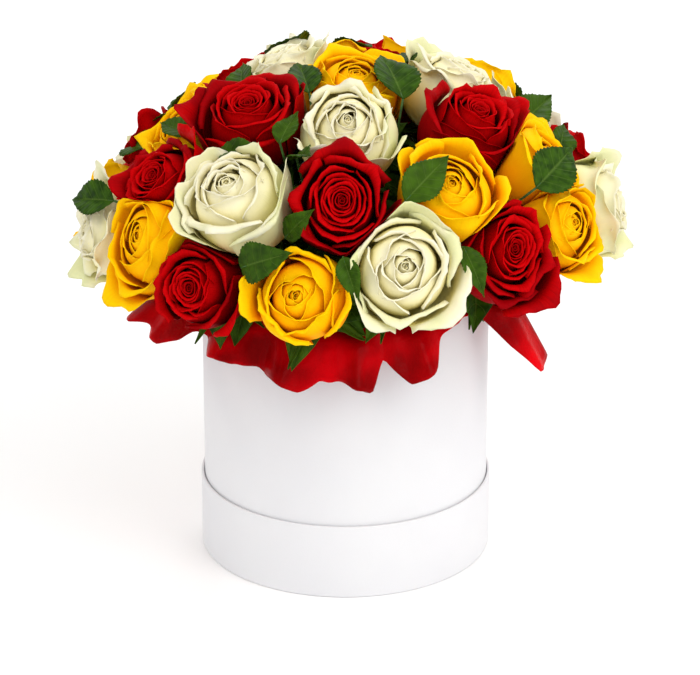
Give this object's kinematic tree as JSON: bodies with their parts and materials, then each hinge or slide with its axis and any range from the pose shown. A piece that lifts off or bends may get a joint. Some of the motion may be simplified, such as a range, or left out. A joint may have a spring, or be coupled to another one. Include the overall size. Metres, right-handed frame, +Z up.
{
  "type": "box of roses",
  "caption": "Round white hat box standing in its own lid, filled with a domed arrangement of red, yellow and white roses with leaves over a red sheet.",
  "frame": {"origin": "middle of the underside of the lid that the box stands in", "axes": "+Z up; -Y is the front, as the picture sees it; +X to the right from the front"},
  "size_m": [0.3727, 0.3724, 0.3611],
  "materials": {
    "white_card": "smooth white card, matt with a faint sheen",
    "clear_film": "clear waterproof film",
    "wet_foam": "open fine-celled wet floral foam",
    "red_cloth": "soft satin-like red sheet",
    "leaf_green": "fresh rose leaf with a soft sheen",
    "petal_red": "velvety crimson petals",
    "petal_white": "cream petals, green at the outer ones",
    "petal_yellow": "golden yellow petals, orange in the folds"
  },
  "bodies": {
    "root": {"box_body": "white_card", "box_lid": "white_card", "film_cup": "clear_film", "foam": "wet_foam", "greens_01": "leaf_green", "greens_02": "leaf_green", "greens_03": "leaf_green", "greens_04": "leaf_green", "greens_05": "leaf_green", "greens_06": "leaf_green", "greens_07": "leaf_green", "greens_08": "leaf_green", "greens_09": "leaf_green", "greens_10": "leaf_green", "greens_11": "leaf_green", "greens_12": "leaf_green", "greens_13": "leaf_green", "greens_14": "leaf_green", "greens_15": "leaf_green", "greens_16": "leaf_green", "greens_17": "leaf_green", "red_sheet": "red_cloth", "rose_red_01": "petal_red", "rose_red_02": "petal_red", "rose_red_03": "petal_red", "rose_red_04": "petal_red", "rose_red_05": "petal_red", "rose_red_06": "petal_red", "rose_red_07": "petal_red", "rose_red_08": "petal_red", "rose_red_09": "petal_red", "rose_red_10": "petal_red", "rose_red_11": "petal_red", "rose_red_12": "petal_red", "rose_red_13": "petal_red", "rose_white_01": "petal_white", "rose_white_02": "petal_white", "rose_white_03": "petal_white", "rose_white_04": "petal_white", "rose_white_05": "petal_white", "rose_white_06": "petal_white", "rose_white_07": "petal_white", "rose_white_08": "petal_white", "rose_white_09": "petal_white", "rose_white_10": "petal_white", "rose_white_11": "petal_white", "rose_yellow_01": "petal_yellow", "rose_yellow_02": "petal_yellow", "rose_yellow_03": "petal_yellow", "rose_yellow_04": "petal_yellow", "rose_yellow_05": "petal_yellow", "rose_yellow_06": "petal_yellow", "rose_yellow_07": "petal_yellow", "rose_yellow_08": "petal_yellow", "rose_yellow_09": "petal_yellow", "rose_yellow_10": "petal_yellow", "rose_yellow_11": "petal_yellow", "rose_yellow_12": "petal_yellow", "rose_yellow_13": "petal_yellow", "rose_yellow_14": "petal_yellow"}
  },
  "joints": []
}
